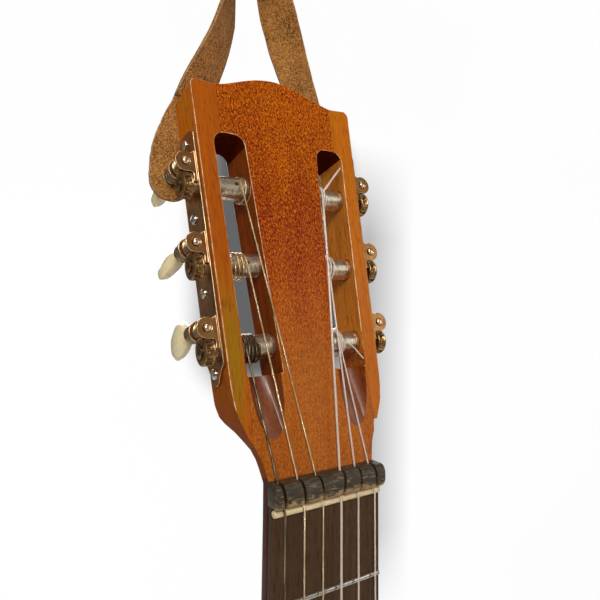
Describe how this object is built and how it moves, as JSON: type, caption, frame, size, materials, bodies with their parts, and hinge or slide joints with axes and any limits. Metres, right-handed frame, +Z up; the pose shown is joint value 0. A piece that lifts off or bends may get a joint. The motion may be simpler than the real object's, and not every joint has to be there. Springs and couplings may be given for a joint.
{
  "type": "classical guitar",
  "caption": "Full-size classical guitar with a slotted head, open-gear tuning machines, nylon strings and a leather loop hooked over the upper tuners to hang it from.",
  "frame": {"origin": "the point where the strap's loop rests on its hook or peg", "axes": "+Z up along the neck, +X to the right seen from the front, +Y from the strings towards the back"},
  "size_m": [0.3646, 0.1088, 1.0684],
  "materials": {
    "mahogany": "reddish brown, varnished",
    "cheek_wood": "yellow brown, varnished",
    "rosewood": "dark brown, varnished",
    "board_wood": "dark brown, oiled",
    "nut_wood": "near black, worn",
    "spruce": "amber, varnished",
    "inner_wood": "raw",
    "rosette_wood": "inlaid, varnished",
    "bone": "cream bone, polished",
    "ivoroid": "cream, aged",
    "plate_metal": "tarnished",
    "worm_metal": "tarnished, rubbed bright on the edges",
    "gear_bronze": "dark, worn teeth",
    "post_metal": "dull nickel",
    "nylon": "clear",
    "wound_wire": "silvered winding",
    "suede": "brown suede"
  },
  "bodies": {
    "guitar": {"back_binding": "rosewood", "back_brace_lower": "inner_wood", "back_brace_middle": "inner_wood", "back_brace_upper": "inner_wood", "back_lining_left": "inner_wood", "back_lining_right": "inner_wood", "back_plate": "rosewood", "bridge": "rosewood", "fretboard": "board_wood", "hanging_strap": "suede", "head_wing_left": "cheek_wood", "head_wing_right": "cheek_wood", "heel_cap": "nut_wood", "neck": "mahogany", "neck_block": "inner_wood", "nut": "nut_wood", "rosette": "rosette_wood", "saddle": "bone", "side_left": "rosewood", "side_right": "rosewood", "soundboard": "spruce", "soundboard_bracing": "inner_wood", "string_1": "nylon", "string_2": "nylon", "string_3": "nylon", "string_4": "wound_wire", "string_5": "wound_wire", "string_6": "wound_wire", "tail_block": "inner_wood", "top_binding": "rosewood", "top_lining_left": "inner_wood", "top_lining_right": "inner_wood", "tuner_plate_left": "plate_metal", "tuner_plate_right": "plate_metal", "zero_fret": "bone"},
    "button_shaft_left_lower": {"worm_left_lower": "worm_metal", "button_left_lower": "ivoroid"},
    "roller_left_lower": {"post_left_lower": "post_metal", "gear_left_lower": "gear_bronze"},
    "button_shaft_left_middle": {"worm_left_middle": "worm_metal", "button_left_middle": "ivoroid"},
    "roller_left_middle": {"post_left_middle": "post_metal", "gear_left_middle": "gear_bronze"},
    "button_shaft_left_upper": {"worm_left_upper": "worm_metal", "button_left_upper": "ivoroid"},
    "roller_left_upper": {"post_left_upper": "post_metal", "gear_left_upper": "gear_bronze"},
    "button_shaft_right_lower": {"worm_right_lower": "worm_metal", "button_right_lower": "ivoroid"},
    "roller_right_lower": {"post_right_lower": "post_metal", "gear_right_lower": "gear_bronze"},
    "button_shaft_right_middle": {"worm_right_middle": "worm_metal", "button_right_middle": "ivoroid"},
    "roller_right_middle": {"post_right_middle": "post_metal", "gear_right_middle": "gear_bronze"},
    "button_shaft_right_upper": {"worm_right_upper": "worm_metal", "button_right_upper": "ivoroid"},
    "roller_right_upper": {"post_right_upper": "post_metal", "gear_right_upper": "gear_bronze"}
  },
  "joints": [
    {"name": "turn_button_left_lower", "type": "hinge", "parent": "guitar", "child": "button_shaft_left_lower", "pos_m": [-0.04358, -0.04884, -0.18125], "axis": [0, 0.9695, -0.245], "continuous": true},
    {"name": "turn_roller_left_lower", "type": "hinge", "parent": "guitar", "child": "roller_left_lower", "pos_m": [-0.03767, -0.04415, -0.19129], "axis": [0.9993, 0.0089, 0.035], "continuous": true},
    {"name": "turn_button_left_middle", "type": "hinge", "parent": "guitar", "child": "button_shaft_left_middle", "pos_m": [-0.04485, -0.04027, -0.14733], "axis": [0, 0.9695, -0.245], "continuous": true},
    {"name": "turn_roller_left_middle", "type": "hinge", "parent": "guitar", "child": "roller_left_middle", "pos_m": [-0.03893, -0.03559, -0.15738], "axis": [0.9993, 0.0089, 0.035], "continuous": true},
    {"name": "turn_button_left_upper", "type": "hinge", "parent": "guitar", "child": "button_shaft_left_upper", "pos_m": [-0.04611, -0.0317, -0.11342], "axis": [0, 0.9695, -0.245], "continuous": true},
    {"name": "turn_roller_left_upper", "type": "hinge", "parent": "guitar", "child": "roller_left_upper", "pos_m": [-0.0402, -0.02702, -0.12347], "axis": [0.9993, 0.0089, 0.035], "continuous": true},
    {"name": "turn_button_right_lower", "type": "hinge", "parent": "guitar", "child": "button_shaft_right_lower", "pos_m": [0.04358, -0.04884, -0.18125], "axis": [0, 0.9695, -0.245], "continuous": true},
    {"name": "turn_roller_right_lower", "type": "hinge", "parent": "guitar", "child": "roller_right_lower", "pos_m": [0.03767, -0.04415, -0.19129], "axis": [0.9993, -0.0089, -0.035], "continuous": true},
    {"name": "turn_button_right_middle", "type": "hinge", "parent": "guitar", "child": "button_shaft_right_middle", "pos_m": [0.04485, -0.04027, -0.14733], "axis": [0, 0.9695, -0.245], "continuous": true},
    {"name": "turn_roller_right_middle", "type": "hinge", "parent": "guitar", "child": "roller_right_middle", "pos_m": [0.03893, -0.03559, -0.15738], "axis": [0.9993, -0.0089, -0.035], "continuous": true},
    {"name": "turn_button_right_upper", "type": "hinge", "parent": "guitar", "child": "button_shaft_right_upper", "pos_m": [0.04611, -0.0317, -0.11342], "axis": [0, 0.9695, -0.245], "continuous": true},
    {"name": "turn_roller_right_upper", "type": "hinge", "parent": "guitar", "child": "roller_right_upper", "pos_m": [0.0402, -0.02702, -0.12347], "axis": [0.9993, -0.0089, -0.035], "continuous": true}
  ],
  "couplings": [
    {"joint": "turn_roller_left_lower", "follows": "turn_button_left_lower", "ratio": -0.071429},
    {"joint": "turn_roller_left_middle", "follows": "turn_button_left_middle", "ratio": -0.071429},
    {"joint": "turn_roller_left_upper", "follows": "turn_button_left_upper", "ratio": -0.071429},
    {"joint": "turn_roller_right_lower", "follows": "turn_button_right_lower", "ratio": 0.071429},
    {"joint": "turn_roller_right_middle", "follows": "turn_button_right_middle", "ratio": 0.071429},
    {"joint": "turn_roller_right_upper", "follows": "turn_button_right_upper", "ratio": 0.071429}
  ]
}
